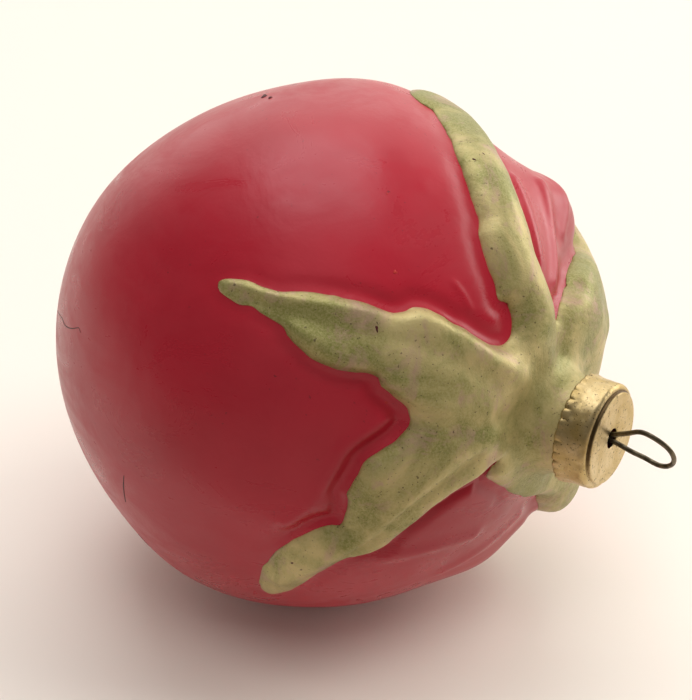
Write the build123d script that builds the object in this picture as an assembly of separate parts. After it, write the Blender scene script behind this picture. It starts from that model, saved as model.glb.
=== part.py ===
"""Blown-glass tomato ornament lying on its side, with its cap and wire hanger.

Millimetres, +Z up, neck towards +X. The origin is the middle of the ground
under the whole object. The body is one hollow glass bulb with five raised
sepals moulded in its wall. A coat of olive-gold paint covers the sepals and
the neck. A stamped cap sits over the neck, and a spring-wire hanger goes
through the hole in the cap and spreads its legs inside the neck.
"""

import math
import os

from build123d import *

# Bulb
BODY_RADIUS = 34.0
WALL = 0.7
NECK_RADIUS = 5.4
NECK_BLEND = 6.0  # how sharply the bulb turns into the neck
NECK_END = 41.4
NECK_POLARS = [30.0, 26.0, 22.0, 19.0, 16.5, 14.5, 12.5]  # where the plain curve is worked out

# Raised sepals and the paint on them and on the neck
RELIEF_POLARS = [94, 88, 80, 70, 60, 50, 42, 35, 30, 26, 22, 19, 16.5, 14.5, 12.5]
RELIEF_HEIGHT = 2.4
RELIEF_FOOT = 0.1  # the least height, at the neck
RELIEF_ROOT = 0.35  # how far the relief is let into the wall
COAT = 0.15
COAT_END = 39.2
COLLAR_POLAR = 18.5  # the relief and its paint reach this far all round the neck

# Cap
CAP_FACE = 42.5
CAP_HEIGHT = 4.8
CAP_RADIUS = 6.85
CAP_SHEET = 0.28
CROWN_RADIUS = 6.05
CROWN_STEP = 0.5
CROWN_EDGE = 0.2
SHOULDER = 0.6
FLUTE_COUNT = 31
FLUTE_DEPTH = 0.26
FLUTE_HEIGHT = 1.9
HOLE_RADIUS = 1.3

# Wire hanger
WIRE = 0.65
STRAND_GAP = 0.45  # from the axis to each strand's centre in the hole
KNEE_DEPTH = 0.5
KNEE_RADIUS = 1.4
LOOP_RADIUS = 3.15
LOOP_CENTRE = 5.95
LOOP_LEAN = 12.5  # degrees that the loop leans within its own plane
LOOP_TURN = 113.0  # the loop's plane about the axis, degrees from +Y towards +Z
LEG_SPREAD = 4.5
LEG_END = 28.0

# Blocks that cut the paint to each sepal's outline
BLOCK_POLAR = 50.0
BLOCK_REACH = 60.0
ROOT_POLAR = 14.0
ROOT_OVERLAP = 16.0

# The five sepals. Each edge is a few (degrees from the axis, degrees about it)
# points from the neck to the tip.
SEPALS = {
    "front_top": {
        "tip": (88.0, 138.0),
        "low": [(26, 115), (36, 124), (46, 126), (53, 129), (60, 131), (71, 134), (84, 136)],
        "high": [(42, 157), (46, 149), (53, 146), (63, 144.5), (74, 142.5), (85, 139.5)],
    },
    "front_low": {
        "tip": (76.0, 212.0),
        "low": [(42, 154), (48, 166), (52, 172), (54, 184), (60, 190), (67, 195), (73, 204)],
        "high": [(19, 184), (30, 188), (37, 192), (44, 198), (51, 203), (60, 207), (71, 212.5)],
    },
    "top": {
        "tip": (84.0, 58.0),
        "low": [(19, 68), (26, 73), (35, 75), (45, 69.5), (55, 62.5), (66, 55), (77, 52)],
        "high": [(26, 116), (32, 106), (43, 97), (49, 90), (56, 84), (66, 75), (77, 66)],
    },
    "back": {
        "tip": (80.0, 20.0),
        "low": [(22, -32), (30, -20), (40, -10), (50, -5), (60, 2), (72, 12)],
        "high": [(19, 70), (25, 59), (32, 45), (40, 33), (50, 33), (60, 33), (72, 27)],
    },
    "underside": {
        "tip": (76.0, 287.0),
        "low": [(19, 252), (23, 264), (30, 272), (42, 274), (56, 277), (68, 280)],
        "high": [(22, 326), (30, 318), (40, 310), (54, 303), (68, 295)],
    },
}

LOOP_END = CAP_FACE + LOOP_CENTRE * math.cos(math.radians(LOOP_LEAN)) + LOOP_RADIUS + WIRE / 2.0


def ease(t):
    """Go smoothly from 0 to 1."""
    t = min(max(t, 0.0), 1.0)
    return t * t * (3.0 - 2.0 * t)


def edge_angle(points, polar):
    """The angle about the axis of a sepal's edge at a given polar angle."""
    if polar <= points[0][0]:
        return points[0][1]
    for (p0, a0), (p1, a1) in zip(points, points[1:]):
        if polar <= p1:
            return a0 + (a1 - a0) * (polar - p0) / (p1 - p0)
    return points[-1][1]


def plain_radius(polar):
    """Distance from the bulb's centre to its plain surface between the sepals."""
    neck = NECK_RADIUS / math.sin(math.radians(polar))
    return (BODY_RADIUS**NECK_BLEND + neck**NECK_BLEND) ** (1.0 / NECK_BLEND)


def relief_height(polar):
    """How far a sepal stands proud: full at the shoulder, less at its tip and the neck."""
    rise = ease((polar - 11.0) / 15.0) * (1.0 - 0.72 * ease((polar - 42.0) / 40.0))
    return RELIEF_FOOT + (RELIEF_HEIGHT - RELIEF_FOOT) * rise


def neck_radius_at(x):
    """The neck's outer radius at x, on the plain curve."""
    low, high = 4.0, 12.0
    for _ in range(40):
        middle = (low + high) / 2.0
        if math.hypot(middle, x) > plain_radius(math.degrees(math.atan2(middle, x))):
            high = middle
        else:
            low = middle
    return (low + high) / 2.0


def profile_point(polar, radius):
    """A point of a profile drawn in the XY plane, X along the axis."""
    return (radius * math.cos(math.radians(polar)), radius * math.sin(math.radians(polar)))


def bulb_solid(offset, neck_end):
    """The plain bulb and neck as a full solid, moved out or in by an offset."""
    shoulder = [profile_point(p, plain_radius(p) + offset) for p in NECK_POLARS]
    neck = [(x, neck_radius_at(x) + offset) for x in (38.0, neck_end)]
    blend = Spline(shoulder + neck)
    start = NECK_POLARS[0]
    round_part = CenterArc((0, 0), math.hypot(*shoulder[0]), start, 180.0 - start)
    pole = -math.hypot(*shoulder[0])
    close = Polyline((pole, 0), (neck_end, 0), (neck_end, neck[-1][1]))
    return revolve(make_face([round_part, blend, close]), Axis.X)


def relief_ring(inner, outer):
    """A ring round the front of the bulb, between two heights.

    Each height is (share of the relief, offset), measured from the plain surface.
    """

    def curve(share, offset):
        points = []
        for polar in RELIEF_POLARS:
            height = share * relief_height(polar) + offset
            points.append(profile_point(polar, plain_radius(polar) + height))
        end_height = share * RELIEF_FOOT + offset
        points.append((COAT_END, neck_radius_at(COAT_END) + end_height))
        return Spline(points)

    low = curve(*inner)
    high = curve(*outer)
    sides = [Line(low @ 0, high @ 0), Line(low @ 1, high @ 1)]
    return revolve(make_face([low, high] + sides), Axis.X)


def direction(polar, angle):
    """A unit vector from the bulb's centre."""
    a = math.radians(polar)
    b = math.radians(angle)
    return Vector(math.cos(a), math.sin(a) * math.cos(b), math.sin(a) * math.sin(b))


def sepal_block(sepal):
    """A straight block through the bulb's front with one sepal's outline."""
    low = sepal["low"]
    high = sepal["high"]
    middle_angle = (edge_angle(low, BLOCK_POLAR) + edge_angle(high, BLOCK_POLAR)) / 2.0
    normal = direction(BLOCK_POLAR, middle_angle)
    plane = Plane(origin=(0, 0, 0), x_dir=(1, 0, 0), z_dir=normal)

    def corner(polar, angle):
        local = plane.to_local_coords(direction(polar, angle) * (BODY_RADIUS + 1.0))
        return (local.X, local.Y)

    low_side = Spline([corner(*point) for point in low + [sepal["tip"]]])
    high_side = Spline([corner(*point) for point in [sepal["tip"]] + high[::-1]])
    root_high = corner(ROOT_POLAR, high[0][1] + ROOT_OVERLAP)
    root_low = corner(ROOT_POLAR, low[0][1] - ROOT_OVERLAP)
    root = Polyline(high_side @ 1, root_high, root_low, low_side @ 0)
    outline = make_face([low_side, high_side, root])
    return extrude(plane * outline, amount=BLOCK_REACH, dir=tuple(normal))


def calyx_region():
    """Everything in line with the five sepals and the collar round the neck."""
    region = Solid.make_cone(
        0.01,
        BLOCK_REACH * math.tan(math.radians(COLLAR_POLAR)),
        BLOCK_REACH,
        plane=Plane(origin=(0, 0, 0), z_dir=(1, 0, 0)),
    )
    for sepal in SEPALS.values():
        region = region + sepal_block(sepal)
    return region


def make_glass_body(region):
    """The hollow bulb with its moulded sepals, open at the end of its neck."""
    shell = bulb_solid(0.0, NECK_END) - bulb_solid(-WALL, NECK_END + 1.0)
    relief = relief_ring((0.0, -RELIEF_ROOT), (1.0, 0.0)) & region
    return shell + relief


def make_calyx_coat(region):
    """The paint over the sepals and the neck: a thin skin on the relief."""
    return relief_ring((1.0, 0.0), (1.0, COAT)) & region


def make_flutes(mouth, skirt_end, inner):
    """The crimped band at the cap's mouth."""
    steps = FLUTE_COUNT * 6
    points = []
    for i in range(steps):
        turn = 2.0 * math.pi * i / steps
        r = CAP_RADIUS + FLUTE_DEPTH * (1.0 - math.cos(FLUTE_COUNT * turn)) / 2.0
        points.append((mouth, r * math.cos(turn), r * math.sin(turn)))
    outline = Face(Wire([Edge.make_spline([Vector(*p) for p in points], periodic=True)]))
    band = extrude(outline, amount=skirt_end - mouth, dir=(1, 0, 0))
    bore_plane = Plane(origin=(mouth - 1.0, 0, 0), z_dir=(1, 0, 0))
    return band - Solid.make_cylinder(inner, skirt_end - mouth + 2.0, plane=bore_plane)


def make_cap():
    """The stamped cap: raised crown disc, round shoulder, crimped skirt, hole."""
    top = CAP_FACE - CROWN_STEP
    mouth = CAP_FACE - CAP_HEIGHT
    skirt_end = mouth + FLUTE_HEIGHT
    inner = CAP_RADIUS - CAP_SHEET
    crown_under = CAP_FACE - CAP_SHEET
    crown_inner = CROWN_RADIUS - CAP_SHEET
    shoulder = CAP_RADIUS - SHOULDER
    inside = [
        (skirt_end, CAP_RADIUS),
        (skirt_end, inner),
        (top - CAP_SHEET, inner),
        (top - CAP_SHEET, crown_inner),
        (crown_under, crown_inner),
        (crown_under, HOLE_RADIUS),
        (CAP_FACE, HOLE_RADIUS),
        (CAP_FACE, CROWN_RADIUS - CROWN_EDGE),
    ]
    section = make_face(
        [
            Polyline(inside),
            CenterArc((CAP_FACE - CROWN_EDGE, CROWN_RADIUS - CROWN_EDGE), CROWN_EDGE, 0, 90),
            Polyline((CAP_FACE - CROWN_EDGE, CROWN_RADIUS), (top, CROWN_RADIUS), (top, shoulder)),
            CenterArc((top - SHOULDER, shoulder), SHOULDER, 0, 90),
            Line((top - SHOULDER, CAP_RADIUS), (skirt_end, CAP_RADIUS)),
        ]
    )
    return revolve(section, Axis.X) + make_flutes(mouth, skirt_end, inner)


def strand(side, centre):
    """One side of the hanger: its leg, its bend at the hole and its straight strand.

    Returns the edges from the leg's end outwards and the point where the strand
    meets the loop's round end.
    """
    knee = Vector(CAP_FACE - KNEE_DEPTH, side * STRAND_GAP)
    reach = centre - knee
    across = math.degrees(math.asin(LOOP_RADIUS / reach.length))
    to_centre = math.degrees(math.atan2(reach.Y, reach.X))
    heading = math.radians(to_centre + side * across)
    run = math.sqrt(reach.length**2 - LOOP_RADIUS**2)
    touch = knee + Vector(math.cos(heading), math.sin(heading)) * run
    leg_end = Vector(LEG_END, side * LEG_SPREAD)
    return FilletPolyline(leg_end, knee, touch, radius=KNEE_RADIUS), touch


def make_hanger_wire():
    """One bent wire: teardrop loop outside, two strands in the hole, sprung legs inside."""
    lean = math.radians(LOOP_LEAN)
    centre = Vector(CAP_FACE + LOOP_CENTRE * math.cos(lean), LOOP_CENTRE * math.sin(lean))
    upper, upper_touch = strand(1.0, centre)
    lower, lower_touch = strand(-1.0, centre)
    far_point = centre + Vector(math.cos(lean), math.sin(lean)) * LOOP_RADIUS
    loop = ThreePointArc(upper_touch, far_point, lower_touch)
    path = Wire(upper.edges() + loop.edges() + lower.edges())
    section = Plane(origin=path @ 0, z_dir=path % 0) * Circle(WIRE / 2.0)
    return sweep(section, path=path).rotate(Axis.X, LOOP_TURN)


def write(node, shape):
    """Place one piece in the shared frame and write its STEP."""
    widest = plain_radius(NECK_POLARS[0])
    placed = shape.moved(Location(((widest - LOOP_END) / 2.0, 0.0, widest)))
    placed.label = node
    export_step(placed, f"parts/{node}.step")


def main():
    os.makedirs("parts", exist_ok=True)
    region = calyx_region()
    write("glass_body", make_glass_body(region))
    write("calyx_coat", make_calyx_coat(region))
    write("cap", make_cap())
    write("hanger_wire", make_hanger_wire())


main()
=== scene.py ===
"""Looks of a blown-glass tomato ornament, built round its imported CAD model.

The glass, its paint, the cap and the wire are modelled here as fine meshes in
the CAD frame. Lengths inside the script are millimetres measured from the
bulb's centre, with X along the ornament's axis, and become metres when a mesh
is made. Angles are in degrees: "polar" from the neck's axis, "turn" about it,
from +Y towards +Z.
"""

import math

import bpy
import numpy as np
from mathutils import Matrix, Vector
from mathutils.geometry import delaunay_2d_cdt


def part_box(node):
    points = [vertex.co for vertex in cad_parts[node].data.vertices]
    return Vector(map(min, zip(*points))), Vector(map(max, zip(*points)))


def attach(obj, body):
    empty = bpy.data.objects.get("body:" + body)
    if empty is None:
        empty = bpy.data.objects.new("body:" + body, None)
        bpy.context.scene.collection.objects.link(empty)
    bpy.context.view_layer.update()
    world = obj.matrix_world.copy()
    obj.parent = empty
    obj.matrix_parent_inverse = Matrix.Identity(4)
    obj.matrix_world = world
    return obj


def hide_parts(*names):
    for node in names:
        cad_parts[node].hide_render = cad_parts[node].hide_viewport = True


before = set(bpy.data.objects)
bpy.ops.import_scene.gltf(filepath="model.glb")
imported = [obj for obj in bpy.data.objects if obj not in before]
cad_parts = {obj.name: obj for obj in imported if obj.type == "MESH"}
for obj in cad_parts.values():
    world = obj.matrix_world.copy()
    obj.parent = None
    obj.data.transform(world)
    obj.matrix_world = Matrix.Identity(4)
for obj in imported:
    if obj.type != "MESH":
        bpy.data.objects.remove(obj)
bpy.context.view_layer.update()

MM = 0.001
rng = np.random.default_rng(7)

# ---------------------------------------------------------------- the frame

glass_low, glass_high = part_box("glass_body")
wire_low, wire_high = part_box("hanger_wire")
cap_low, cap_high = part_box("cap")
R = (glass_high.z - glass_low.z) / 2.0 / MM
CENTRE = Vector((glass_low.x + R * MM, 0.0, glass_low.z + R * MM))
CAP_FACE = (cap_high.x - CENTRE.x) / MM
CAP_MOUTH = (cap_low.x - CENTRE.x) / MM
NECK_END = (glass_high.x - CENTRE.x) / MM
LEG_END = (wire_low.x - CENTRE.x) / MM

# ---------------------------------------------------------------- bulb shape

NECK = 5.4  # the neck's outer radius
NECK_BLEND = 6.0  # how sharply the bulb turns into the neck
WALL = 0.7
NECK_POLAR = 7.87  # the neck's open end
SEPALS_END = 100.0  # no sepal reaches past this polar angle
FACETS = 512  # columns of the glass's outer mesh
INNER_FACETS = 64
TUCK = 0.3  # how far inside the painted edge the sepals rise, on the bare glass

# Edges of the sepals, (polar, turn), each from the valley before it to its tip
# and back to the valley after it, so that the five make one closed outline.
FRONT_TOP = [
    (26.3, 109.5), (26.8, 115.8), (28.8, 119.9), (31.1, 121.2), (35.7, 122.3), (39.7, 123.0),
    (42.5, 123.0), (46.4, 123.8), (49.3, 125.4), (50.7, 127.9), (53.6, 129.4), (58.7, 130.2),
    (63.3, 131.0), (69.2, 132.5), (74.3, 134.3), (79.0, 135.2), (82.5, 134.9), (85.8, 135.4),
    (88.3, 136.4), (89.0, 137.4), (88.0, 138.7), (85.1, 139.6), (82.7, 140.2), (80.0, 139.8),
    (76.3, 140.7), (72.3, 141.7), (71.2, 143.1), (67.8, 145.2), (64.0, 146.5), (60.4, 147.2),
    (57.2, 147.0), (53.9, 146.1), (50.8, 146.3), (49.7, 148.3), (46.8, 150.4), (43.0, 152.8),
]
FRONT_LOW = [
    (42.6, 153.9), (42.0, 157.5), (43.9, 162.4), (47.1, 166.3), (50.4, 170.5), (51.9, 175.1),
    (53.4, 179.5), (53.2, 181.0), (53.7, 185.4), (55.3, 189.2), (57.8, 189.3), (61.9, 191.1),
    (65.0, 193.2), (69.3, 197.4), (73.2, 203.3), (76.0, 210.3), (76.2, 214.6), (74.6, 216.0),
    (71.4, 214.7), (64.1, 208.4), (59.4, 203.9), (53.6, 200.6), (49.7, 200.9), (45.7, 199.3),
    (41.5, 194.9), (35.6, 190.2), (29.9, 186.3), (25.1, 184.7), (21.4, 181.5), (19.2, 181.9),
]
UNDERSIDE = [
    (20.3, 184.0), (21.8, 188.0), (21.5, 192.0), (18.6, 209.9), (17.9, 235.5), (18.8, 252.0),
    (20.2, 266.0), (23.5, 276.0), (28.0, 281.0), (32.0, 284.0), (36.0, 287.5), (42.0, 290.0),
    (50.0, 291.5), (60.0, 293.0), (69.0, 295.0), (74.5, 297.5), (75.5, 300.0), (73.0, 302.5),
    (65.0, 305.0), (56.0, 309.0), (47.0, 313.0), (38.0, 316.0), (31.0, 319.0),
]
BACK = [
    (23.5, 324.0), (24.0, 332.0), (31.0, 343.0), (41.0, 350.0), (52.0, 356.0), (62.0, 3.0),
    (71.0, 12.0), (78.0, 17.0), (80.0, 20.0), (78.0, 22.5), (70.0, 25.0), (61.0, 25.0),
    (54.0, 23.0), (49.0, 22.0), (44.5, 24.0), (41.0, 29.5), (36.0, 38.5), (31.5, 46.5),
    (29.0, 49.0), (27.5, 54.0), (24.5, 60.5), (22.0, 65.5),
]
TOP = [
    (21.2, 70.0), (25.5, 75.0), (34.0, 76.8), (41.3, 73.7), (48.3, 69.6), (56.8, 64.0),
    (63.5, 59.0), (72.0, 53.0), (79.5, 50.5), (84.5, 52.5), (85.5, 57.5), (83.5, 62.0),
    (79.8, 64.6), (75.9, 65.4), (70.9, 69.3), (65.7, 73.8), (60.0, 79.3), (53.4, 85.0),
    (48.0, 89.8), (45.5, 93.6), (41.4, 97.5), (36.6, 100.6), (33.8, 103.2), (31.6, 101.6),
    (28.6, 104.0),
]
SEPAL_EDGES = [FRONT_TOP, FRONT_LOW, UNDERSIDE, BACK, TOP]

# How far each sepal stands proud at its shoulder: (turn, height)
SEPAL_HEIGHTS = [(18.0, 3.3), (88.0, 2.5), (138.0, 2.0), (178.0, 2.1), (298.0, 3.4), (350.0, 1.9)]

# How deep the red sinks beside the sepals' edges: (turn, depth)
TROUGHS = [
    (10.0, 0.3), (50.0, 0.4), (95.0, 0.10), (112.0, 0.25), (128.0, 0.45), (146.0, 0.5),
    (160.0, 0.9), (185.0, 1.0), (205.0, 0.5), (240.0, 0.3), (300.0, 0.3), (330.0, 0.3),
]

# Lines on the sepals: ([(polar, turn), ...], height, half width)
CRESTS = [
    ([(86, 136.4), (75, 135.9), (62, 133.0), (50, 128.8), (40, 125.5), (31, 125.0)], 0.25, 0.8),
    ([(70, 141.5), (60, 144.8), (50, 145.5), (42, 150.0), (34, 151.0), (26, 148.0)], 0.45, 1.5),
    ([(34, 128.0), (26, 127.0), (20, 127.0)], 0.50, 1.6),
    ([(24, 160), (32, 166), (40, 178), (48, 188), (58, 197), (70, 206)], 0.55, 1.5),
    ([(20, 172), (27, 178), (36, 185), (45, 194), (53, 198)], 0.35, 0.8),
    ([(80, 56), (70, 58), (60, 66), (50, 76), (38, 86), (27, 90)], 0.25, 3.0),
    ([(78, 22), (60, 20), (45, 14), (30, 10)], 0.6, 2.0),
    ([(72, 294), (55, 294), (40, 297), (28, 300)], 0.5, 2.0),
]
GROOVES = [
    ([(80, 138.6), (70, 138.6), (58, 137.5), (48, 135.0), (38, 134.0), (28, 135.0)], 0.40, 1.6),
    ([(55, 196.8), (49, 192.5), (43.3, 185.6), (36.1, 178.8), (26.6, 168.3)], 0.45, 0.5),
    ([(70, 23), (50, 17), (34, 12)], 0.3, 0.6),
    ([(60, 297), (44, 301), (30, 306)], 0.3, 0.6),
    ([(27, 112), (21, 113), (16, 112)], 0.2, 1.9),
    ([(40, 155), (32, 153), (22, 151), (16, 150)], 0.45, 1.7),
    ([(23, 75), (19, 74), (15, 73)], 0.8, 1.8),
    ([(23, 326), (18, 325), (14, 324)], 0.8, 1.8),
]
# Folds in the red between the sepals
RED_FOLDS = [
    ([(38, 115), (41, 113), (44, 112)], 0.12, 0.5),
    ([(30, 226), (38, 214), (47, 208)], 0.45, 1.2),
    ([(26, 262), (33, 248), (42, 238)], 0.35, 1.3),
    ([(29, 62), (40, 52), (54, 45)], 0.45, 0.9),
    ([(30, 73), (40, 66), (54, 58)], 0.4, 0.9),
    ([(42, 43), (50, 38), (60, 36)], 0.35, 0.8),
    ([(48, 158), (55, 168), (60, 180), (66, 188)], 0.35, 1.2),
]
# Slow unevenness of the blown glass: (polar, turn, height, width in degrees)
SWELLS = [
    (112.0, 150.0, -0.5, 34.0),
    (84.0, 92.0, 0.35, 24.0),
    (90.0, 225.0, 0.45, 26.0),
    (150.0, 190.0, 0.3, 26.0),
    (52.0, 34.0, 3.1, 10.0),
    (118.0, 205.0, -0.3, 24.0),
    (126.0, 73.0, -0.7, 22.0),
    (93.0, 54.0, 0.75, 15.0),
    (153.0, 121.0, 0.4, 18.0),
    (100.0, 228.0, 0.45, 16.0),
    (30.0, 287.0, 2.0, 8.0),
    (43.0, 267.0, 1.5, 10.0),
]


def ease(t):
    """Go smoothly from 0 to 1."""
    t = np.clip(t, 0.0, 1.0)
    return t * t * (3.0 - 2.0 * t)


def directions(polar, turn):
    """Unit vectors for arrays of angles."""
    a = np.radians(polar)
    b = np.radians(turn)
    return np.stack([np.cos(a), np.sin(a) * np.cos(b), np.sin(a) * np.sin(b)], axis=-1)


def flat(points):
    """Lay (polar, turn) points out flat round the neck's axis, in millimetres."""
    points = np.asarray(points, float)
    reach = np.radians(points[..., 0]) * R
    turn = np.radians(points[..., 1])
    return np.stack([reach * np.cos(turn), reach * np.sin(turn)], axis=-1)


def unflat(q):
    """Turn flat positions back into (polar, turn)."""
    polar = np.degrees(np.hypot(q[..., 0], q[..., 1]) / R)
    return polar, np.degrees(np.arctan2(q[..., 1], q[..., 0]))


def rounded(points, step, closed):
    """A smooth line through points, sampled about every `step` millimetres."""
    points = np.asarray(points, float)
    count = len(points)
    out = []
    for i in range(count if closed else count - 1):
        if closed:
            p0, p1, p2, p3 = (points[(i + k) % count] for k in (-1, 0, 1, 2))
        else:
            p0, p1, p2, p3 = (points[min(max(i + k, 0), count - 1)] for k in (-1, 0, 1, 2))
        parts = max(int(np.linalg.norm(p2 - p1) / step), 1)
        for t in np.arange(parts) / parts:
            out.append(
                0.5 * (2 * p1 + (p2 - p0) * t + (2 * p0 - 5 * p1 + 4 * p2 - p3) * t**2
                + (3 * p1 - p0 - 3 * p2 + p3) * t**3)
            )
    if not closed:
        out.append(points[-1])
    return np.array(out)


def line_distance(q, line, closed=False):
    """Distance from each flat position to a line of points."""
    ends = np.roll(line, -1, axis=0) if closed else line[1:]
    starts = line if closed else line[:-1]
    best = np.full(len(q), 1e9)
    for a, b in zip(starts, ends):
        d = b - a
        t = np.clip(((q - a) @ d) / max(d @ d, 1e-12), 0.0, 1.0)
        best = np.minimum(best, ((q - a - t[:, None] * d) ** 2).sum(-1))
    return np.sqrt(best)


def inside(q, loop):
    """Whether each flat position is inside a closed loop."""
    result = np.zeros(len(q), bool)
    x, y = q[:, 0], q[:, 1]
    for (x0, y0), (x1, y1) in zip(loop, np.roll(loop, -1, axis=0)):
        if y0 == y1:
            continue
        crosses = (y0 > y) != (y1 > y)
        result ^= crosses & (x < (x1 - x0) * (y - y0) / (y1 - y0) + x0)
    return result


def brushed_edge():
    """The paint's whole edge, with the small waver of a brush."""
    corners = flat([p for edge in SEPAL_EDGES for p in edge])
    line = rounded(corners, 0.45, True)
    ahead = np.roll(line, -1, axis=0) - np.roll(line, 1, axis=0)
    across = np.stack([-ahead[:, 1], ahead[:, 0]], -1)
    across /= np.linalg.norm(across, axis=1)[:, None]
    waver = np.zeros(len(line))
    place = 2.0 * np.pi * np.arange(len(line)) / len(line)
    for waves, size in ((61, 0.06), (97, 0.05), (151, 0.03), (211, 0.015)):
        waver += size * np.sin(waves * place + rng.uniform(0, 6.28))
    return line + across * waver[:, None]


EDGE = brushed_edge()
CREST_LINES = [(rounded(flat(l), 1.5, False), h, w) for l, h, w in CRESTS]
GROOVE_LINES = [(rounded(flat(l), 1.5, False), h, w) for l, h, w in GROOVES]
FOLD_LINES = [(rounded(flat(l), 1.5, False), h, w) for l, h, w in RED_FOLDS]


def plain_radius(polar):
    """Distance from the centre to the plain bulb and neck."""
    neck = NECK / np.sin(np.radians(np.clip(polar, 2.0, 178.0)))
    near = (R**NECK_BLEND + neck**NECK_BLEND) ** (1.0 / NECK_BLEND)
    return np.where(polar < 90.0, near, R)


def by_turn(turn, values, width=28.0):
    """A value at each turn, blended between (turn, value) pairs."""
    total = np.zeros_like(turn)
    weight = np.zeros_like(turn)
    for centre, value in values:
        away = (turn - centre + 180.0) % 360.0 - 180.0
        w = np.exp(-((away / width) ** 2)) + 1e-6
        total += w * value
        weight += w
    return total / weight


def edge_distance(polar, turn):
    """Distance to the sepals' edge: more than 0 on the sepals, less off them."""
    q = flat(np.stack([polar, turn], -1))
    far = polar > SEPALS_END
    d = np.full(len(q), -40.0)
    near = ~far
    d[near] = line_distance(q[near], EDGE[::2], True)
    d[near] *= np.where(inside(q[near], EDGE), 1.0, -1.0)
    return d


def relief(polar, turn, d):
    """Height of the moulded detail over the plain bulb."""
    q = flat(np.stack([polar, turn], -1))
    rise = ease((polar - 9.0) / 17.0) * (1.0 - 0.74 * ease((polar - 42.0) / 44.0))
    pillow = 1.0 - np.exp(-np.maximum(d, 0.0) / 1.25)
    height = by_turn(turn, SEPAL_HEIGHTS) * rise * pillow
    on_sepal = ease((d + 0.2) / 1.2)
    off_sepal = ease((0.1 - d) / 0.8)
    shoulder = ease((polar - 12.0) / 8.0)
    for line, size, width in CREST_LINES:
        height += size * shoulder * on_sepal * np.exp(-((line_distance(q, line) / width) ** 2))
    for line, size, width in GROOVE_LINES:
        height -= size * on_sepal * np.exp(-((line_distance(q, line) / width) ** 2))
    for line, size, width in FOLD_LINES:
        height += size * off_sepal * np.exp(-((line_distance(q, line) / width) ** 2))
    depth = by_turn(turn, TROUGHS, 12.0) * (1.0 - 0.85 * ease((polar - 40.0) / 45.0))
    height -= depth * np.exp(-(((d + 1.3) / 1.15) ** 2)) * off_sepal
    return height


def swell(polar, turn):
    """Slow unevenness of the bulb."""
    n = directions(polar, turn)
    height = np.zeros(len(polar))
    for p, t, size, width in SWELLS:
        c = directions(np.array(p), np.array(t))
        away = np.degrees(np.arccos(np.clip(n @ c, -1.0, 1.0)))
        height += size * np.exp(-((away / width) ** 2))
    waves = np.sin(4.1 * n[:, 0] + 1.0) * np.sin(5.3 * n[:, 1] + 2.0) * np.sin(4.7 * n[:, 2])
    ripples = np.sin(11.0 * n[:, 1] + 7.0 * n[:, 0]) * np.sin(9.0 * n[:, 2] - 6.0 * n[:, 0] + 1.0)
    return (height + 0.12 * waves + 0.035 * ripples) * ease((polar - 18.0) / 20.0)


def settle(points):
    """Keep the bulb on the ground: nothing goes lower than the plain bulb."""
    points[:, 2] = np.maximum(points[:, 2], -R)
    return points


def bulb_points(polar, turn, tuck=0.0):
    """Points on the moulded glass for arrays of angles.

    With `tuck`, the sepals rise that far inside their painted edge, so that the
    bare glass never shows through the paint there.
    """
    d = edge_distance(polar, turn)
    d = np.where(d > 0.0, np.maximum(d - tuck, 0.0), d)
    radius = plain_radius(polar) + swell(polar, turn)
    near = polar < SEPALS_END
    radius[near] += relief(polar[near], turn[near], d[near])
    return settle(directions(polar, turn) * radius[:, None])


# ---------------------------------------------------------------- mesh tools


def make_object(name, points, faces, body, node):
    """A smooth mesh piece from millimetre points about the bulb's centre."""
    mesh = bpy.data.meshes.new(name)
    placed = np.asarray(points) * MM + np.array(CENTRE)
    mesh.from_pydata(placed.tolist(), [], [list(map(int, f)) for f in faces])
    mesh.validate()
    mesh.polygons.foreach_set("use_smooth", [True] * len(mesh.polygons))
    mesh.update()
    obj = bpy.data.objects.new(name, mesh)
    bpy.context.scene.collection.objects.link(obj)
    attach(obj, body)
    if node:
        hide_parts(node)
    return obj


def grid_faces(rows, columns, start=0, flip=False):
    """Quads between rings of points, each ring closed on itself."""
    i, j = np.meshgrid(np.arange(rows - 1), np.arange(columns), indexing="ij")
    a = start + i * columns + j
    b = start + i * columns + (j + 1) % columns
    quads = np.stack([a, b, b + columns, a + columns], -1).reshape(-1, 4)
    return quads[:, ::-1] if flip else quads


# ---------------------------------------------------------------- the glass


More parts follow.
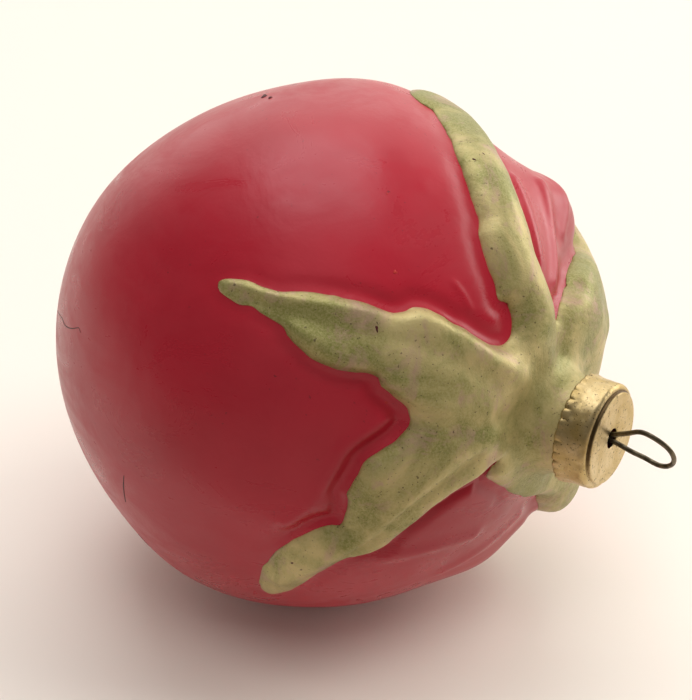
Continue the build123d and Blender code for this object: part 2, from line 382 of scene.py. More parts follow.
def make_glass():
    """The bulb: fine outer face, neck rim and plain inner face, one closed shell."""
    rear = np.linspace(179.0, 100.0, 46)
    front = np.linspace(99.4, 14.0, 122)
    neck = np.linspace(13.4, NECK_POLAR, 12)
    polars = np.concatenate([rear, front, neck])
    turns = np.arange(FACETS) * 360.0 / FACETS
    p, t = np.meshgrid(polars, turns, indexing="ij")
    outer = bulb_points(p.ravel(), t.ravel(), TUCK)
    pole = np.array([[-R - swell(np.array([180.0]), np.array([0.0]))[0], 0.0, 0.0]])

    columns = INNER_FACETS
    stride = FACETS // columns
    rim = outer[-FACETS:].copy()
    rim_out = rim * [1.0, 0.93, 0.93] + [0.12, 0.0, 0.0]
    rim_in = rim * [1.0, 0.885, 0.885] + [0.02, 0.0, 0.0]
    inner_polars = np.concatenate([np.linspace(8.0, 20.0, 10), np.linspace(26.0, 176.0, 26)])
    ip, it = np.meshgrid(inner_polars, turns[::stride], indexing="ij")
    inner_radius = plain_radius(ip.ravel()) - WALL
    inner = directions(ip.ravel(), it.ravel()) * inner_radius[:, None]
    inner_pole = np.array([[-R + WALL, 0.0, 0.0]])

    points = np.concatenate([outer, rim_out, rim_in, inner, pole, inner_pole])
    rings = len(polars) + 2
    faces = grid_faces(rings, FACETS, 0, True).tolist()
    first_inner = rings * FACETS
    for j in range(FACETS):
        k = j // stride
        here = (rings - 1) * FACETS + j
        there = (rings - 1) * FACETS + (j + 1) % FACETS
        faces.append([there, here, first_inner + k])
        if (j + 1) % stride == 0:
            faces.append([there, first_inner + k, first_inner + (k + 1) % columns])
    faces += grid_faces(len(inner_polars), columns, first_inner, True).tolist()
    pole_index = first_inner + len(inner)
    for j in range(FACETS):
        faces.append([pole_index, (j + 1) % FACETS, j])
    last = first_inner + (len(inner_polars) - 1) * columns
    for k in range(columns):
        faces.append([last + (k + 1) % columns, last + k, pole_index + 1][::-1])
    return make_object("tomato_glass", points, faces, "ornament", "glass_body")


# ---------------------------------------------------------------- the paint

PAINT = 0.13  # thickness
PAINT_ROOT = 0.09  # how far its underside is let into the glass
PAINT_STEP = 0.55  # spacing of the mesh
PAINT_NECK = 8.7  # the paint ends under the cap
PAINT_RINGS = 13.0  # inside this polar angle the mesh is in rings round the neck
RING_STEP = 0.45


def make_paint():
    """The olive-gold coat: a closed skin that follows the brushed edge exactly."""
    inset_lines = []
    ahead = np.roll(EDGE, -1, axis=0) - np.roll(EDGE, 1, axis=0)
    normal = np.stack([-ahead[:, 1], ahead[:, 0]], -1)
    normal /= np.linalg.norm(normal, axis=1)[:, None]
    for depth in (0.09, 0.25):
        line = EDGE + normal * depth
        keep = inside(line, EDGE) & (line_distance(line, EDGE, True) > depth * 0.8)
        inset_lines.append(line[keep])
    hole_turns = np.radians(np.arange(0, 360, 6.0))
    hole_reach = math.radians(PAINT_NECK) * R
    hole = np.stack([hole_reach * np.cos(hole_turns), hole_reach * np.sin(hole_turns)], -1)

    span = np.abs(EDGE).max() + 1.0
    xs = np.arange(-span, span, PAINT_STEP)
    ys = np.arange(-span, span, PAINT_STEP * 0.866)
    gx, gy = np.meshgrid(xs, ys)
    gx = gx + (np.arange(len(ys)) % 2)[:, None] * PAINT_STEP / 2
    fill = np.stack([gx.ravel(), gy.ravel()], -1)
    fill = fill[inside(fill, EDGE)]
    reach = np.hypot(fill[:, 0], fill[:, 1])
    off_rings = reach > math.radians(PAINT_RINGS) * R
    fill = fill[(line_distance(fill, EDGE, True) > 0.5) & off_rings]
    rings = []
    for polar in np.arange(PAINT_NECK + RING_STEP, PAINT_RINGS, RING_STEP):
        angles = np.radians(np.arange(0, 360, 5.0) + 2.5 * (len(rings) % 2))
        r = math.radians(polar) * R
        rings.append(np.stack([r * np.cos(angles), r * np.sin(angles)], -1))

    flat_points = np.concatenate([EDGE, hole] + inset_lines + [fill] + rings)
    n, m = len(EDGE), len(hole)
    edges = [(i, (i + 1) % n) for i in range(n)] + [(n + i, n + (i + 1) % m) for i in range(m)]
    verts, _, tris, _, _, _ = delaunay_2d_cdt(
        [Vector(p) for p in flat_points.tolist()], edges, [], 1, 1e-4
    )
    q = np.array([tuple(v) for v in verts])
    tris = np.array([f for f in tris if len(f) == 3])
    middle = q[tris].mean(axis=1)
    keep = (np.hypot(middle[:, 0], middle[:, 1]) > hole_reach * 0.999) & inside(middle, EDGE)
    tris = tris[keep]

    polar, turn = unflat(q)
    d = line_distance(q, EDGE, True)
    thickness = PAINT * (0.3 + 0.7 * np.sqrt(np.clip(d / 0.25, 0.0, 1.0)))
    upper = bulb_points(polar, turn)
    outward = upper / np.linalg.norm(upper, axis=1)[:, None]
    lower = upper - outward * PAINT_ROOT
    upper = upper + outward * thickness[:, None]

    counts = {}
    for tri in tris:
        for a, b in ((tri[0], tri[1]), (tri[1], tri[2]), (tri[2], tri[0])):
            counts[(a, b)] = True
    border = [(a, b) for a, b in counts if (b, a) not in counts]
    total = len(q)
    faces = tris.tolist() + (tris[:, ::-1] + total).tolist()
    faces += [[b, a, a + total, b + total] for a, b in border]
    used = np.zeros(2 * total, bool)
    for f in faces:
        used[f] = True
    renumber = np.cumsum(used) - 1
    points = np.concatenate([upper, lower])[used]
    faces = [[int(renumber[k]) for k in f] for f in faces]
    return make_object("calyx_paint", points, faces, "ornament", "calyx_coat")


# ---------------------------------------------------------------- the cap

CAP_COLUMNS = 744
FLUTES = 31
DENTS = 26
SKIRT = 6.85  # radius
SHEET = 0.28  # thickness
CROWN = 6.05  # radius
CROWN_STEP = 0.5  # how far the crown stands above the shoulder
SHOULDER = 0.72  # radius of the bend from the crown's foot to the skirt
HOLE = 1.3  # radius
LIP = 0.14  # radius of the hole's rounded edge


def arc(cx, cr, radius, start, end, count):
    """Profile points (x, r) on an arc; 0 degrees is along +X, 90 is outwards."""
    a = np.radians(np.linspace(start, end, count))
    return list(zip(cx + radius * np.cos(a), cr + radius * np.sin(a)))


def cap_profile():
    """The sheet's outer and inner faces as one closed line of (x, r) points."""
    top = CAP_FACE - CROWN_STEP
    outer = [(x, SKIRT) for x in np.linspace(CAP_MOUTH, top - 0.9, 22)]
    outer += arc(top - SHOULDER, SKIRT - SHOULDER, SHOULDER, 90, 12, 10)
    outer += [(top, CROWN + 0.06), (top + 0.02, CROWN - 0.03), (top + 0.12, CROWN - 0.02)]
    outer += arc(CAP_FACE - SHEET, CROWN - SHEET, SHEET, 90, 5, 8)
    outer += [(CAP_FACE, r) for r in np.linspace(CROWN - 0.45, HOLE + 0.2, 14)]
    outer += arc(CAP_FACE - LIP, HOLE + LIP, LIP, 0, -180, 7)
    inner = [(CAP_FACE - SHEET, r) for r in np.linspace(HOLE + 0.25, CROWN - SHEET, 5)]
    inner += [(top - SHEET, CROWN - SHEET), (top - SHEET, SKIRT - SHEET - 0.3)]
    inner += [(x, SKIRT - SHEET) for x in np.linspace(top - SHEET - 0.3, CAP_MOUTH, 10)]
    return outer, inner


def crimp(x, turn):
    """How far the crimping tool pushed the skirt in here, 0 at a flute's top."""
    share = 1.0 - ease((x - CAP_MOUTH - 0.25) / 0.95)
    jitter = 0.35 * np.sin(3 * turn + 1.0) + 0.3 * np.sin(7 * turn + 2.0)
    wave = np.abs(np.sin(0.5 * (FLUTES * turn + jitter)))
    depth = 0.62 + 0.45 * np.sin(5 * turn + 0.6) * np.sin(11 * turn)
    return share * depth * (1.0 - wave) ** 1.6


def make_cap():
    """The stamped cap with its crimped mouth, small dents and wavy rim."""
    outer, inner = cap_profile()
    profile = outer + inner
    outer_count = len(outer)
    turns = np.arange(CAP_COLUMNS) * 2.0 * np.pi / CAP_COLUMNS
    dents = [
        (rng.uniform(0, 6.28), rng.uniform(CAP_MOUTH + 1.5, CAP_FACE - 0.9)) for _ in range(DENTS)
    ]
    rows = []
    for index, (x, r) in enumerate(profile):
        outside = index < outer_count
        radius = np.full(CAP_COLUMNS, r)
        along = np.full(CAP_COLUMNS, x)
        on_skirt = r > CROWN + 0.2
        if on_skirt:
            flare = 0.22 * (1.0 - ease((x - CAP_MOUTH) / 1.9))
            radius += flare - 0.24 * crimp(x, turns) * (1.0 if outside else 0.25)
        if on_skirt and outside:
            for turn, place in dents:
                away = ((turns - turn + np.pi) % (2 * np.pi) - np.pi) * SKIRT
                radius -= 0.07 * np.exp(-(away**2 / 0.35 + (x - place) ** 2 / 0.3))
            radius += 0.025 * np.sin(9 * turns + 3 * x) * np.sin(4 * turns - x)
        if abs(x - CAP_MOUTH) < 0.3:
            along += 0.16 * crimp(CAP_MOUTH, turns) + 0.04 * np.sin(13 * turns)
        if r < CROWN - 0.4 and outside:
            along += 0.02 * np.sin(2 * turns + r) - 0.03 * math.sin(min(r / CROWN, 1.0) * math.pi)
        rows.append(np.stack([along, radius * np.cos(turns), radius * np.sin(turns)], -1))
    points = np.concatenate(rows + rows[:1])
    faces = grid_faces(len(profile) + 1, CAP_COLUMNS)
    wrap = len(profile) * CAP_COLUMNS
    faces = np.where(faces >= wrap, faces - wrap, faces)
    return make_object("ornament_cap", points[:wrap], faces, "cap", "cap")


# ---------------------------------------------------------------- the hanger

WIRE = 0.325  # radius
STRAND_GAP = 0.45  # each strand from the axis where they pass the hole
KNEE_DEPTH = 0.5  # below the cap's face
LOOP_RADIUS = 3.15
LOOP_CENTRE = 5.95  # from the cap's face
LOOP_LEAN = 12.5  # degrees, in the loop's own plane
LOOP_TURN = 113.0  # the loop's plane about the axis
LOOP_NOD = 0.075  # how far the loop leans out of its own plane, per mm of reach
LEG_SPREAD = 4.5
LEG_BEND = 1.1
WIRE_COLUMNS = 20


def wire_route():
    """The wire's centre line in its own plane: (x, across) points, leg to leg."""
    lean = math.radians(LOOP_LEAN)
    centre = np.array([CAP_FACE + LOOP_CENTRE * math.cos(lean), LOOP_CENTRE * math.sin(lean)])
    sides = []
    for side in (1.0, -1.0):
        knee = np.array([CAP_FACE - KNEE_DEPTH, side * STRAND_GAP])
        reach = centre - knee
        length = np.linalg.norm(reach)
        heading = math.atan2(reach[1], reach[0]) + side * math.asin(LOOP_RADIUS / length)
        run = math.sqrt(length**2 - LOOP_RADIUS**2)
        touch = knee + run * np.array([math.cos(heading), math.sin(heading)])
        leg = np.array([LEG_END + WIRE, side * LEG_SPREAD])
        sides.append((leg, knee, touch))
    (leg_a, knee_a, touch_a), (leg_b, knee_b, touch_b) = sides
    route = []
    for leg, knee, touch in sides:
        into = (leg - knee) / np.linalg.norm(leg - knee)
        away = (touch - knee) / np.linalg.norm(touch - knee)
        straight = [leg + (knee + into * LEG_BEND - leg) * t for t in np.linspace(0, 1, 16)]
        a, b = knee + into * LEG_BEND, knee + away * LEG_BEND
        along_bend = np.linspace(0.1, 0.9, 9)
        bend = [(1 - t) ** 2 * a + 2 * t * (1 - t) * knee + t**2 * b for t in along_bend]
        strand = [b + (touch - b) * t for t in np.linspace(0, 0.96, 12)]
        route.append(straight + bend + strand)
    start = math.atan2(*(touch_a - centre)[::-1])
    end = math.atan2(*(touch_b - centre)[::-1])
    round_loop = np.linspace(start, end, 48)
    loop = [centre + LOOP_RADIUS * np.array([math.cos(a), math.sin(a)]) for a in round_loop]
    return np.array(route[0] + loop + route[1][::-1])


def make_wire():
    """The hanger as a round wire with cut ends and slight hand-bent waver."""
    route = wire_route()
    plane_turn = math.radians(LOOP_TURN)
    side = np.array([0.0, math.cos(plane_turn), math.sin(plane_turn)])
    lift = np.array([0.0, -math.sin(plane_turn), math.cos(plane_turn)])
    line = route[:, :1] * [1.0, 0.0, 0.0] + route[:, 1:] * side
    out = np.maximum(route[:, 0] - CAP_FACE, 0.0)
    line = line + (LOOP_NOD * out)[:, None] * lift
    outside = np.clip((route[:, 0] - CAP_FACE) / 3.0, 0.0, 1.0)
    line = line + (outside * 0.06 * np.sin(route[:, 0] * 1.3))[:, None] * lift
    columns = WIRE_COLUMNS
    turns = np.arange(columns) * 2.0 * np.pi / columns
    ahead = np.gradient(line, axis=0)
    ahead /= np.linalg.norm(ahead, axis=1)[:, None]
    across = np.cross(ahead, lift)
    across /= np.linalg.norm(across, axis=1)[:, None]
    up = np.cross(across, ahead)
    rings = []
    for i, place in enumerate(line):
        near_end = min(i, len(line) - 1 - i) == 0
        size = WIRE * (0.8 if near_end else 1.0)
        ring = place + size * (np.cos(turns)[:, None] * across[i] + np.sin(turns)[:, None] * up[i])
        rings.append(ring)
    points = np.concatenate(rings + [line[:1], line[-1:]])
    faces = grid_faces(len(line), columns).tolist()
    first, last = len(line) * columns, len(line) * columns + 1
    tail = (len(line) - 1) * columns
    for j in range(columns):
        k = (j + 1) % columns
        faces.append([first, k, j])
        faces.append([last, tail + j, tail + k])
    return make_object("hanging_wire", points, faces, "hanger", "hanger_wire")


# ---------------------------------------------------------------- small marks

# Hairline cracks: ([(polar, turn), ...], half width in millimetres)
CRACKS = [
    (
        [
            (146.0, 162.5), (139.0, 161.0), (134.4, 161.6), (129.0, 160.0), (126.4, 158.6),
            (125.0, 159.4),
        ],
        0.075,
    ),
    ([(106.0, 188.6), (106.8, 193.0), (107.6, 198.6)], 0.12),
    ([(110.2, 215.6), (109.2, 217.6), (108.0, 219.0)], 0.13),
]
# Chips in the paint and lacquer: (polar, turn, length, width, turn of the chip)
CHIPS = [
    (107.1, 84.5, 0.9, 0.35, 20.0),
    (104.6, 86.0, 0.35, 0.25, 0.0),
    (54.9, 134.9, 0.75, 0.3, 30.0),
    (58.5, 77.1, 0.18, 0.42, 10.0),
    (58.6, 73.7, 0.15, 0.35, -10.0),
    (66.0, 199.0, 0.25, 0.3, 0.0),
]
# Bright specks: (polar, turn, radius)
BRIGHT_SPOTS = [(55.9, 119.6, 0.28), (47.5, 152.6, 0.25), (66.0, 103.0, 0.16)]


def mark_on_bulb(polar, turn, along, across, spin, lift, segments=14):
    """A tiny low dome that follows the bulb: its points and faces."""
    n = directions(np.array([polar]), np.array([turn]))[0]
    east = np.cross(n, [1.0, 0.0, 0.0])
    east /= np.linalg.norm(east)
    north = np.cross(n, east)
    s, c = math.sin(math.radians(spin)), math.cos(math.radians(spin))
    u, v = east * c + north * s, north * c - east * s
    foot = bulb_points(np.array([polar]), np.array([turn]))[0]
    turns = np.linspace(0, 2 * np.pi, segments, endpoint=False)
    points = [foot + n * lift]
    for share, height in ((0.55, lift * 0.85), (1.0, -0.02), (0.7, -0.12)):
        wobble = 1.0 + 0.22 * np.sin(3 * turns + polar) + 0.12 * np.sin(5 * turns + turn)
        for a, w in zip(turns, wobble):
            step = (u * along * math.cos(a) + v * across * math.sin(a)) * share * w
            points.append(foot + step + n * (height - (step @ step) / (2 * R)))
    points.append(foot - n * 0.15)
    faces = [[0, 1 + j, 1 + (j + 1) % segments] for j in range(segments)]
    faces += grid_faces(3, segments, 1, True).tolist()
    tail = len(points) - 1
    start = 1 + 2 * segments
    faces += [[tail, start + (j + 1) % segments, start + j] for j in range(segments)]
    return np.array(points), faces


def join_marks(name, parts):
    """Several small marks as one piece."""
    points, faces, start = [], [], 0
    for p, f in parts:
        points.append(p)
        faces += [[k + start for k in face] for face in f]
        start += len(p)
    return make_object(name, np.concatenate(points), faces, "ornament", None)


def crack(line, half_width):
    """A hairline: a thin dark bead let into the lacquer."""
    stations = rounded([flat(p) for p in line], 0.35, False)
    polar, turn = unflat(stations)
    wander = np.cumsum(rng.normal(0, 0.02, (len(stations), 2)), axis=0)
    polar, turn = unflat(stations + wander)
    centre = bulb_points(polar, turn)
    n = directions(polar, turn)
    ahead = np.gradient(centre, axis=0)
    ahead /= np.linalg.norm(ahead, axis=1)[:, None]
    side = np.cross(n, ahead)
    taper = np.sin(np.linspace(0.15, np.pi - 0.15, len(centre))) ** 0.5
    rings = []
    for a in np.radians([0, 60, 120, 180, 240, 300]):
        w = (half_width * taper)[:, None]
        rings.append(centre + side * w * math.cos(a) + n * (0.035 * math.sin(a)))
    points = np.stack(rings, 1).reshape(-1, 3)
    faces = grid_faces(len(centre), 6, 0, True).tolist()
    tail = (len(centre) - 1) * 6
    faces += [list(range(6)), [tail + k for k in range(6)][::-1]]
    return points, faces


def make_marks():
    """Cracks, chips and bright specks of the old finish."""
    dark = [crack(line, width) for line, width in CRACKS]
    dark += [mark_on_bulb(p, t, a, b, s, 0.16) for p, t, a, b, s in CHIPS]
    bright = [mark_on_bulb(p, t, r, r, 0.0, 0.05) for p, t, r in BRIGHT_SPOTS]
    return (
        join_marks("lacquer_cracks", dark),
        join_marks("lacquer_specks", bright),
    )


# ---------------------------------------------------------------- materials


def new_material(name):
    """An empty node material and its Principled shader."""
    material = bpy.data.materials.new(name)
    material.use_nodes = True
    tree = material.node_tree
    shader = tree.nodes["Principled BSDF"]
    return material, tree, shader


def noise(tree, scale, detail=4.0, roughness=0.55, distortion=0.0, stretch=None):
    """A noise value over the object's own coordinates, in features per metre."""
    coordinates = tree.nodes.new("ShaderNodeTexCoord")
    texture = tree.nodes.new("ShaderNodeTexNoise")
    texture.inputs["Scale"].default_value = scale
    texture.inputs["Detail"].default_value = detail
    texture.inputs["Roughness"].default_value = roughness
    texture.inputs["Distortion"].default_value = distortion
    if stretch:
        mapping = tree.nodes.new("ShaderNodeMapping")
        mapping.inputs["Scale"].default_value = stretch
        tree.links.new(coordinates.outputs["Object"], mapping.inputs["Vector"])
        tree.links.new(mapping.outputs["Vector"], texture.inputs["Vector"])
    else:
        tree.links.new(coordinates.outputs["Object"], texture.inputs["Vector"])
    return texture.outputs["Fac"]


def ramp(tree, value, low, high, floor=0.0, ceiling=1.0):
    """Stretch part of a value's range, clamped."""
    node = tree.nodes.new("ShaderNodeMapRange")
    node.inputs["From Min"].default_value = low
    node.inputs["From Max"].default_value = high
    node.inputs["To Min"].default_value = floor
    node.inputs["To Max"].default_value = ceiling
    tree.links.new(value, node.inputs["Value"])
    return node.outputs["Result"]


def blend_colours(tree, factor, first, second):
    """Mix two colours, each a tuple or a socket."""
    node = tree.nodes.new("ShaderNodeMix")
    node.data_type = "RGBA"
    tree.links.new(factor, node.inputs["Factor"])
    colour_inputs = [s for s in node.inputs if s.type == "RGBA"]
    for socket, value in zip(colour_inputs, (first, second)):
        if isinstance(value, tuple):
            socket.default_value = (*value, 1.0)
        else:
            tree.links.new(value, socket)
    return [s for s in node.outputs if s.type == "RGBA"][0]


def add_bump(tree, shader, height, distance, strength, previous=None):
    """Chain a bump onto a shader's normal."""
    node = tree.nodes.new("ShaderNodeBump")
    node.inputs["Distance"].default_value = distance
    node.inputs["Strength"].default_value = strength
    tree.links.new(height, node.inputs["Height"])
    if previous:
        tree.links.new(previous, node.inputs["Normal"])
    tree.links.new(node.outputs["Normal"], shader.inputs["Normal"])
    return node.outputs["Normal"]


def red_lacquer():
    """Deep crimson lacquer, a little cloudy, on uneven glass."""
    material, tree, shader = new_material("red_lacquer")
    cloud = ramp(tree, noise(tree, 55.0, 3.0, 0.5), 0.35, 0.68)
    colour = blend_colours(tree, cloud, (0.38, 0.010, 0.024), (0.45, 0.015, 0.032))
    speck = ramp(tree, noise(tree, 1500.0, 2.0, 0.6), 0.70, 0.74)
    dirt_area = ramp(tree, noise(tree, 90.0, 3.0), 0.45, 0.7)
    dirt_and_shade = tree.nodes.new("ShaderNodeMath")
    dirt_and_shade.operation = "MULTIPLY"
    tree.links.new(speck, dirt_and_shade.inputs[0])
    tree.links.new(dirt_area, dirt_and_shade.inputs[1])
    colour = blend_colours(tree, dirt_and_shade.outputs[0], colour, (0.14, 0.010, 0.014))
    tree.links.new(colour, shader.inputs["Base Color"])
    gloss = ramp(tree, noise(tree, 75.0, 6.0, 0.7, 0.8, (1.0, 1.0, 2.2)), 0.34, 0.66, 0.23, 0.44)
    tree.links.new(gloss, shader.inputs["Roughness"])
    shader.inputs["IOR"].default_value = 1.5
    normal = add_bump(tree, shader, noise(tree, 90.0, 4.0, 0.55, 0.5), 0.0016, 0.11)
    add_bump(tree, shader, noise(tree, 2600.0, 2.0, 0.6), 0.0001, 0.10, normal)
    return material


def calyx_gold():
    """Olive-gold metallic paint: fine sparkle, green and straw drifts, pink wear, specks."""
    material, tree, shader = new_material("calyx_gold")
    drift = ramp(tree, noise(tree, 95.0, 5.0, 0.62, 0.6), 0.41, 0.60)
    colour = blend_colours(tree, drift, (0.225, 0.222, 0.050), (0.570, 0.465, 0.200))
    flake = ramp(tree, noise(tree, 3600.0, 3.0, 0.75), 0.36, 0.66)
    sparkle = ramp(tree, flake, 0.0, 1.0, 0.0, 0.45)
    colour = blend_colours(tree, sparkle, colour, (0.560, 0.490, 0.250))
    worn = ramp(tree, noise(tree, 170.0, 6.0, 0.75, 0.8), 0.51, 0.67, 0.0, 0.72)
    colour = blend_colours(tree, worn, colour, (0.500, 0.300, 0.250))
    speck = ramp(tree, noise(tree, 2300.0, 2.0, 0.6), 0.66, 0.72, 0.0, 0.75)
    colour = blend_colours(tree, speck, colour, (0.090, 0.060, 0.030))
    tree.links.new(colour, shader.inputs["Base Color"])
    shader.inputs["Metallic"].default_value = 0.40
    tree.links.new(
        ramp(tree, noise(tree, 700.0, 4.0, 0.6), 0.3, 0.7, 0.38, 0.52), shader.inputs["Roughness"]
    )
    normal = add_bump(tree, shader, noise(tree, 1900.0, 4.0, 0.7), 0.00012, 0.55)
    add_bump(tree, shader, noise(tree, 260.0, 4.0, 0.6, 0.5), 0.0005, 0.22, normal)
    return material


def crown_groove_shade(tree):
    """Painted shade in the groove round the crown's foot: most at the top, 0 off it."""
    coordinates = tree.nodes.new("ShaderNodeTexCoord")
    away = tree.nodes.new("ShaderNodeVectorMath")
    away.operation = "SUBTRACT"
    away.inputs[1].default_value = CENTRE
    across = tree.nodes.new("ShaderNodeVectorMath")
    across.operation = "MULTIPLY"
    across.inputs[1].default_value = (0.0, 1.0, 1.0)
    reach = tree.nodes.new("ShaderNodeVectorMath")
    reach.operation = "LENGTH"
    tree.links.new(coordinates.outputs["Object"], away.inputs[0])
    tree.links.new(away.outputs["Vector"], across.inputs[0])
    tree.links.new(across.outputs["Vector"], reach.inputs[0])
    rising = ramp(tree, reach.outputs["Value"], (CROWN - 0.12) * MM, (CROWN - 0.02) * MM)
    falling = ramp(tree, reach.outputs["Value"], (CROWN + 0.10) * MM, (CROWN + 0.32) * MM, 1.0, 0.0)
    both = tree.nodes.new("ShaderNodeMath")
    both.operation = "MULTIPLY"
    tree.links.new(rising, both.inputs[0])
    tree.links.new(falling, both.inputs[1])
    height = tree.nodes.new("ShaderNodeSeparateXYZ")
    tree.links.new(away.outputs["Vector"], height.inputs["Vector"])
    upper = tree.nodes.new("ShaderNodeMath")
    upper.operation = "MULTIPLY"
    tree.links.new(both.outputs[0], upper.inputs[0])
    # painted shade: the groove is darkened more towards the top of the cap
    dirt_and_shade = ramp(tree, height.outputs["Z"], -2.6 * MM, 0.4 * MM, 0.15, 0.92)
    tree.links.new(dirt_and_shade, upper.inputs[1])
    return upper.outputs[0]


def cap_gold():
    """Gold-lacquered sheet metal, rubbed pale, with pits, darker streaks and painted groove shade.
    """
    material, tree, shader = new_material("cap_gold")
    rub = ramp(tree, noise(tree, 220.0, 5.0, 0.65, 0.4), 0.36, 0.66)
    colour = blend_colours(tree, rub, (0.560, 0.410, 0.160), (0.740, 0.600, 0.350))
    grain = ramp(tree, noise(tree, 3800.0, 3.0, 0.75), 0.35, 0.65, 0.0, 0.30)
    colour = blend_colours(tree, grain, colour, (0.400, 0.300, 0.150))
    pit = ramp(tree, noise(tree, 2600.0, 3.0, 0.65), 0.61, 0.66, 0.0, 0.85)
    colour = blend_colours(tree, pit, colour, (0.060, 0.035, 0.015))
    # painted shade: dark brown in the groove at the crown's foot
    colour = blend_colours(tree, crown_groove_shade(tree), colour, (0.110, 0.065, 0.028))
    tree.links.new(colour, shader.inputs["Base Color"])
    shader.inputs["Metallic"].default_value = 1.0
    tree.links.new(
        ramp(tree, noise(tree, 600.0, 5.0, 0.7), 0.3, 0.7, 0.36, 0.54), shader.inputs["Roughness"]
    )
    normal = add_bump(tree, shader, noise(tree, 900.0, 4.0, 0.6), 0.0002, 0.35)
    add_bump(tree, shader, pit, 0.0001, -0.5, normal)
    return material


def dark_wire():
    """Tarnished spring wire: dark olive-brown with rubbed bright patches."""
    material, tree, shader = new_material("dark_wire")
    rub = ramp(tree, noise(tree, 900.0, 4.0, 0.6), 0.42, 0.68)
    colour = blend_colours(tree, rub, (0.075, 0.060, 0.036), (0.200, 0.165, 0.105))
    tree.links.new(colour, shader.inputs["Base Color"])
    shader.inputs["Metallic"].default_value = 0.9
    tree.links.new(ramp(tree, rub, 0.0, 1.0, 0.42, 0.28), shader.inputs["Roughness"])
    add_bump(tree, shader, noise(tree, 3000.0, 3.0, 0.6), 0.00005, 0.4)
    return material


def mark_material(name, deep, shallow):
    """Matt broken lacquer in two close shades."""
    material, tree, shader = new_material(name)
    colour = blend_colours(tree, ramp(tree, noise(tree, 2500.0), 0.35, 0.65), deep, shallow)
    tree.links.new(colour, shader.inputs["Base Color"])
    shader.inputs["Roughness"].default_value = 0.6
    return material


def put_on(obj, material):
    """Give a piece its one material."""
    obj.data.materials.clear()
    obj.data.materials.append(material)


# ---------------------------------------------------------------- the stage

# Metres and radiance from here on: the room round the ornament
PAPER_EDGE = 0.056  # how far in front of the bulb's centre the paper ends
FLOOR_REACH = 4.0
# the floor beyond the paper's edge, in front of the ornament, is darker and browner
FLOOR_COLOURS = {"paper": (0.93, 0.875, 0.80), "dark_front_floor": (0.50, 0.42, 0.38)}


def make_stage():
    """A sheet of pale paper that ends just in front of the ornament, and a darker, browner floor
    beyond its edge.
    """
    ahead = aim(0.0, 0.0)
    across = aim(90.0, 0.0)
    wide = FLOOR_REACH
    for name, start, end in (
        ("paper", -FLOOR_REACH, PAPER_EDGE),
        ("dark_front_floor", PAPER_EDGE, FLOOR_REACH),
    ):
        mesh = bpy.data.meshes.new(name)
        corners = [(start, -wide), (end, -wide), (end, wide), (start, wide)]
        spots = [ahead * along + across * side for along, side in corners]
        mesh.from_pydata([(v.x + CENTRE.x, v.y, 0.0) for v in spots], [], [(0, 1, 2, 3)])
        sheet = bpy.data.objects.new(name, mesh)
        bpy.context.scene.collection.objects.link(sheet)
        material, tree, shader = new_material(name)
        shader.inputs["Base Color"].default_value = (*FLOOR_COLOURS[name], 1.0)
        shader.inputs["Roughness"].default_value = 0.8
        shader.inputs["Specular IOR Level"].default_value = 0.2
        put_on(sheet, material)


def aim(turn, rise):
    """The direction towards a camera or light: turn to the camera's right, rise up."""
    a, e = math.radians(CAMERA_TURN + turn), math.radians(rise)
    return Vector((math.sin(a) * math.cos(e), -math.cos(a) * math.cos(e), math.sin(e)))


def area_light(name, turn, rise, distance, size, radiance, colour):
    """A soft rectangular light facing the ornament."""
    data = bpy.data.lights.new(name, "AREA")
    data.shape = "RECTANGLE"
    data.size, data.size_y = size
    data.energy = radiance * math.pi * size[0] * size[1]
    data.color = colour
    light = bpy.data.objects.new(name, data)
    back = aim(turn, rise)
    light.location = CENTRE + back * distance
    light.rotation_euler = back.to_track_quat("Z", "Y").to_euler()
    bpy.context.scene.collection.objects.link(light)
    return light


ROOM = 0.15
PAPER = 1.6
GLOW = (184.0, 9.0)  # turn and rise of the middle of the bright paper
GLOW_EDGE = (0.58, 0.93)  # cosine of the angle from there: where it ends, where it is full


def make_world():
    """Bright paper behind the ornament, a dark room on the camera's side."""
    world = bpy.data.worlds.new("surround")
    world.use_nodes = True
    tree = world.node_tree
    background = tree.nodes["Background"]
    direction = tree.nodes.new("ShaderNodeTexCoord")
    dot = tree.nodes.new("ShaderNodeVectorMath")
    dot.operation = "DOT_PRODUCT"
    dot.inputs[1].default_value = aim(*GLOW)
    tree.links.new(direction.outputs["Generated"], dot.inputs[0])
    glow = tree.nodes.new("ShaderNodeMapRange")
    glow.interpolation_type = "SMOOTHSTEP"
    glow.inputs["From Min"].default_value, glow.inputs["From Max"].default_value = GLOW_EDGE
    glow.inputs["To Min"].default_value = ROOM
    glow.inputs["To Max"].default_value = PAPER
    tree.links.new(dot.outputs["Value"], glow.inputs["Value"])
    tree.links.new(glow.outputs["Result"], background.inputs["Strength"])
    background.inputs["Color"].default_value = (1.0, 0.96, 0.90, 1.0)
    bpy.context.scene.world = world


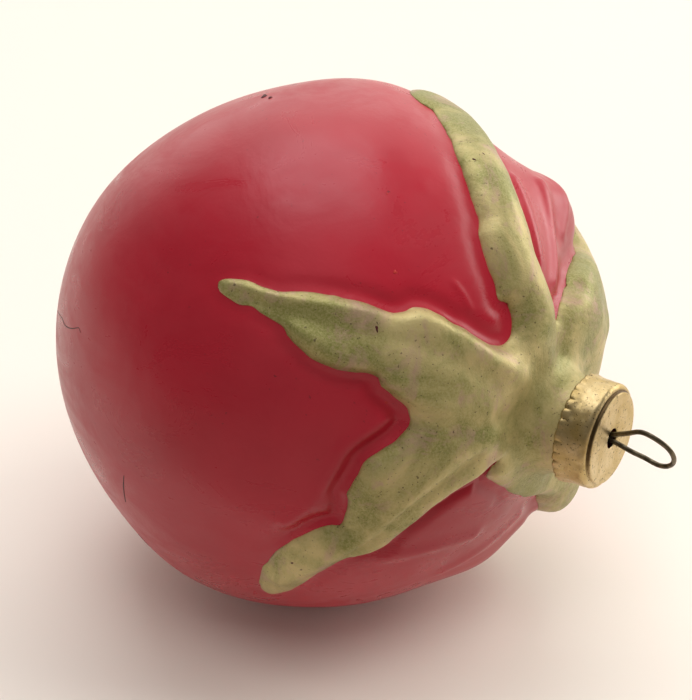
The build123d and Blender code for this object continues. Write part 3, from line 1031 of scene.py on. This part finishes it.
# (name, turn, rise, distance, size, radiance, colour, whether it shows in reflections)
LIGHTS = [
    ("overhead", 186.0, 71.0, 0.9, (0.66, 0.74), 2.4, (1.0, 0.99, 1.0), True),
    ("right", 122.0, 15.0, 1.0, (0.70, 0.50), 3.5, (1.0, 0.98, 0.93), True),
    ("fill", -16.0, 24.0, 1.2, (1.2, 0.9), 0.42, (1.0, 0.93, 0.88), False),
    ("high", -6.0, 64.0, 1.2, (0.7, 0.6), 2.6, (1.0, 0.95, 0.91), False),
    ("side", 96.0, 48.0, 1.1, (0.6, 0.6), 3.4, (1.0, 0.98, 0.94), False),
]


def make_lights():
    """Soft lights over, behind and beside the ornament, and fills that make no glint."""
    for *placing, reflected in LIGHTS:
        area_light(*placing).visible_glossy = reflected
    make_world()


# ---------------------------------------------------------------- the camera

CAMERA_TURN = 30.7  # degrees from square-on to the axis, towards the cap
CAMERA_RISE = 33.4
CAMERA_DISTANCE = 0.450
CAMERA_LENS = 178.4
AIM_RIGHT = 0.00337  # the camera's axis passes this far right of the bulb's centre
AIM_DOWN = 0.00091


def make_camera():
    """The camera, level, aimed close to the bulb's centre."""
    back = aim(0.0, CAMERA_RISE)
    right = aim(90.0, 0.0)
    up = back.cross(right)
    data = bpy.data.cameras.new("camera")
    data.lens = CAMERA_LENS
    data.sensor_width = 36.0
    data.clip_start = 0.01
    camera = bpy.data.objects.new("camera", data)
    turn = Matrix((right, up, back)).transposed().to_4x4()
    place = CENTRE + back * CAMERA_DISTANCE + right * AIM_RIGHT - up * AIM_DOWN
    camera.matrix_world = Matrix.Translation(place) @ turn
    bpy.context.scene.collection.objects.link(camera)
    bpy.context.scene.camera = camera


# ---------------------------------------------------------------- build it

make_camera()
make_stage()
make_lights()

put_on(make_glass(), red_lacquer())
put_on(make_paint(), calyx_gold())
put_on(make_cap(), cap_gold())
put_on(make_wire(), dark_wire())
cracks, specks = make_marks()
put_on(cracks, mark_material("broken_lacquer", (0.045, 0.006, 0.006), (0.10, 0.012, 0.012)))
put_on(specks, mark_material("bright_lacquer", (0.42, 0.02, 0.018), (0.50, 0.035, 0.025)))

bpy.context.scene.view_settings.view_transform = "Standard"
